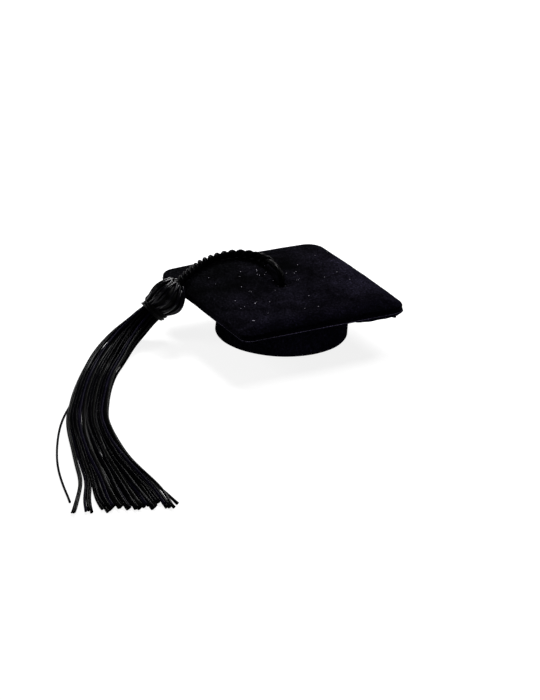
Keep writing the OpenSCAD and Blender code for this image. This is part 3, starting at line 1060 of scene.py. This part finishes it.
def make_lint():
    """Stray specks and fibres caught in the pile of the board's top."""
    dice = np.random.default_rng(LINT_SEED)
    verts, faces = [], []
    for _ in range(LINT_TRIES):
        cluster = dice.integers(0, 4)
        x, y = ((dice.uniform(-0.9, 0.9, 2) * BOARD_HALF) if cluster == 0 else
                np.array(LINT_PATCHES[cluster - 1]) * MM
                + dice.normal(0, LINT_SPREAD, 2))
        if max(abs(x), abs(y)) > BOARD_HALF - PAD_RUN or math.hypot(x, y) < 3.5 * MM:
            continue
        way = dice.uniform(0, TAU)
        long = dice.choice([0.16, 0.20, 0.26, 0.6], p=[0.4, 0.3, 0.2, 0.1]) * MM
        t = np.linspace(-1, 1, 7)
        path = np.stack([x + long * t * math.cos(way),
                         y + long * t * math.sin(way) + 0.1 * long * t ** 2,
                         BOARD_TOP + 0.10 * MM + 0.03 * MM * np.cos(2 * t)], axis=1)
        radius = LINT_RADIUS * np.sqrt(1.02 - t ** 2)
        rings = tube_rings(path, radius, sides=LINT_SIDES)
        base = len(verts)
        verts += [tuple(v) for ring in rings for v in ring]
        n = len(rings)
        for a in range(n - 1):
            near = base + a * LINT_SIDES
            far = near + LINT_SIDES
            for b in range(LINT_SIDES):
                c = (b + 1) % LINT_SIDES
                faces.append((near + b, near + c, far + c, far + b))
        last = base + (n - 1) * LINT_SIDES
        faces.append(tuple(base + q for q in range(LINT_SIDES - 1, -1, -1)))
        faces.append(tuple(last + q for q in range(LINT_SIDES)))
    return finish_piece(new_object("velvet_lint", verts, faces), "lint", "cap", "velvet")


make_lint()


# ---------------------------------------------------------------- crown

CROWN_RADIUS = 24.6 * MM
CROWN_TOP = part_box("crown_cover")[1][2]
LAP_END = math.radians(-78)
LAP_ANGLE = math.radians(28)
HEM_HEIGHT = 4.5 * MM
# the crown is glued on a little off centre and leans towards LEAN_WAY
RIM_OFF, TOP_OFF = 0.4 * MM, 1.35 * MM
LEAN_WAY = math.radians(60)
RIM_BULGE = 0.6 * MM
RIM_ROUND = 0.55 * MM
HEM_IN = 1.74 * MM
CARD_THICK, LINING_THICK = 0.8 * MM, 0.3 * MM


def on_crown(r, angle, z):
    off = RIM_OFF + (TOP_OFF - RIM_OFF) * z / CROWN_TOP
    return (r * math.cos(angle) + off * math.cos(LEAN_WAY),
            r * math.sin(angle) + off * math.sin(LEAN_WAY), z)


def make_crown_ring(name, kind, node_name, slot, thickness):
    """A plain strip bent to a ring inside the crown, with softened edges."""
    low, high = (np.array(c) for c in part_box(node_name))
    edge = 0.12 * MM
    section = [(-edge, low[2]), (0, low[2] + edge), (0, (low[2] + high[2]) / 2),
               (0, high[2] - edge), (-edge, high[2]), (edge - thickness, high[2]),
               (-thickness, high[2] - edge), (-thickness, low[2] + edge),
               (edge - thickness, low[2])]
    rings = []
    for angle in np.linspace(0, TAU, 120, endpoint=False):
        uneven = 0.04 * MM * wobble(math.cos(angle), math.sin(angle), 0, 0.3, 1.0)
        rings.append([on_crown(high[0] + dr + uneven, -angle, z) for dr, z in section])
    ring = lofted(name, np.array(rings), round_trip=True)
    return finish_piece(ring, kind, "cap", slot, node_name)


def make_crown_cover():
    """One velvet strip round the band: wall, soft hem under the rim, lapped end."""
    count = 220
    section = []
    for v in np.linspace(0, 1, 9):
        section.append((0.0, CROWN_TOP - (CROWN_TOP - RIM_ROUND) * v))
    for a in np.linspace(0, math.pi / 2, 5)[1:]:
        section.append((-RIM_ROUND * (1 - math.cos(a)), RIM_ROUND * (1 - math.sin(a))))
    section.append((-1.2 * MM, 0.0))
    section.append((-1.72 * MM, 0.15 * MM))
    section.append((-HEM_IN, 0.6 * MM))
    section.append((-HEM_IN, HEM_HEIGHT))
    back = [(-1.72 * MM + VELVET * 0.9, HEM_HEIGHT), (-1.30 * MM, 0.75 * MM),
            (-0.9 * MM, 0.42 * MM), (-VELVET - 0.05 * MM, 0.75 * MM),
            (-VELVET, CROWN_TOP * 0.5), (-VELVET, CROWN_TOP)]
    section += back
    rings = []
    total = TAU + LAP_ANGLE
    for i in range(count + 1):
        v = i / count
        angle = LAP_END - v * total
        over = 1 - smooth_step((v * total - LAP_ANGLE * 0.55) / (LAP_ANGLE * 0.6))
        ring = []
        for dr, z in section:
            soft = 0.10 * MM * wobble(angle * 3, z / (9 * MM), 0, 1.0, 2.0)
            lap = VELVET * 0.95 * over if z > 0.6 * MM and dr > -0.6 * MM else 0
            r = CROWN_RADIUS + dr + lap + soft - 0.08 * MM
            bulge = RIM_BULGE * (1 - z / CROWN_TOP) * math.cos(angle - LEAN_WAY) ** 2
            ring.append(on_crown(r + bulge, angle, z))
        rings.append(ring)
    cover = lofted("crown_velvet", np.array(rings))
    return finish_piece(cover, "shaded_wall_velvet", "cap", "velvet", "crown_cover")


make_crown_ring("crown_card", "card", "crown_band", "card", CARD_THICK)
make_crown_ring("crown_lining_cloth", "lining", "crown_lining", "lining", LINING_THICK)
crown = make_crown_cover()


# ---------------------------------------------------------------- floor and light

FLOOR_SIZE = 6
WORLD_STRENGTH = 0.06
# name, azimuth from the camera, elevation, distance, size, power
LIGHTS = (("back_key", 190, 46, 0.5, 0.16, 4.0),
          ("far_right", 130, 50, 0.45, 0.14, 1.3),
          ("left", -80, 35, 0.9, 0.30, 1.8))


def make_floor():
    bpy.ops.mesh.primitive_plane_add(size=FLOOR_SIZE)
    floor = bpy.context.object
    floor.name = "floor"
    floor.data.materials.append(material("floor", (0.25, 0.25, 0.25), 0.95,
                                         Specular_IOR_Level=0.1,
                                         Emission_Color=(1, 1, 1, 1),
                                         Emission_Strength=0.86))


def softbox(name, azimuth, elevation, distance, size, power):
    data = bpy.data.lights.new(name, "AREA")
    data.size = size
    data.energy = power
    light = bpy.data.objects.new(name, data)
    bpy.context.collection.objects.link(light)
    a, e = math.radians(azimuth), math.radians(elevation)
    place = Vector((math.sin(a) * math.cos(e), -math.cos(a) * math.cos(e),
                    math.sin(e))) * distance
    light.location = place
    light.rotation_mode = "QUATERNION"
    light.rotation_quaternion = (-place).to_track_quat("-Z", "Y")


def make_light():
    world = bpy.data.worlds.new("world")
    bpy.context.scene.world = world
    world.use_nodes = True
    background = world.node_tree.nodes["Background"]
    background.inputs["Color"].default_value = (1, 1, 1, 1)
    background.inputs["Strength"].default_value = WORLD_STRENGTH
    for name, azimuth, *rest in LIGHTS:
        softbox(name, CAMERA_AZIMUTH + azimuth, *rest)
    bpy.context.scene.view_settings.view_transform = "Standard"


make_floor()
make_light()
